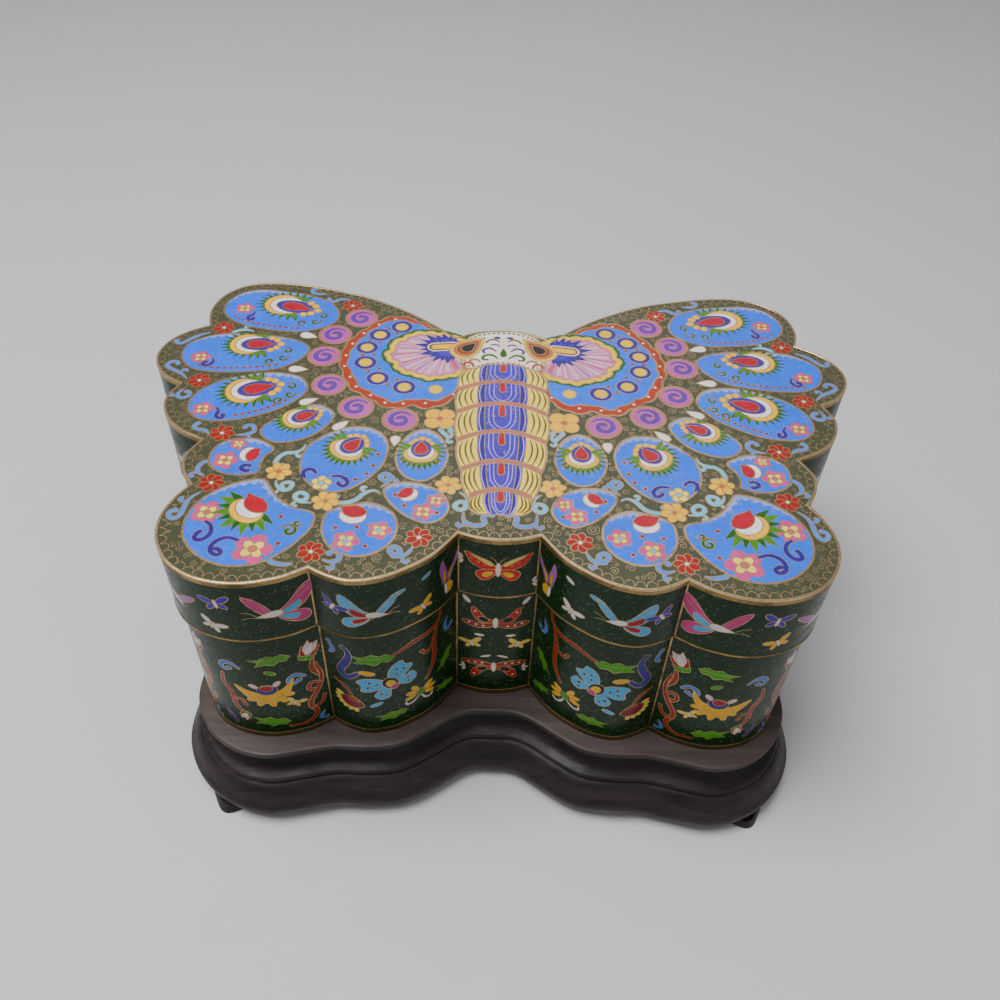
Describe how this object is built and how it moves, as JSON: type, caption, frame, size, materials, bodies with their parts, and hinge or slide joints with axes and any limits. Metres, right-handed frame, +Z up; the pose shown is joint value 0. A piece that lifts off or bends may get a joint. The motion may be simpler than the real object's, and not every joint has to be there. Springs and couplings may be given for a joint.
{
  "type": "cloisonne enamel box with stand",
  "caption": "Butterfly-shaped cloisonné enamel box with a lift-off lid, standing on its own moulded dark wood stand.",
  "frame": {"origin": "middle of the part's footprint, at the underside of the stand's feet", "axes": "+X across the wings to the butterfly's wing on the right when its tail faces the viewer, +Y towards its head, +Z up"},
  "size_m": [0.3512, 0.2342, 0.1463],
  "materials": {
    "enamel_lid": "gloss",
    "enamel_box": "gloss",
    "dark_wood": "satin"
  },
  "bodies": {
    "root": {"lid": "enamel_lid", "box": "enamel_box", "stand": "dark_wood", "foot_front_right": "dark_wood", "foot_front_left": "dark_wood", "foot_back_right": "dark_wood", "foot_back_left": "dark_wood"}
  },
  "joints": []
}
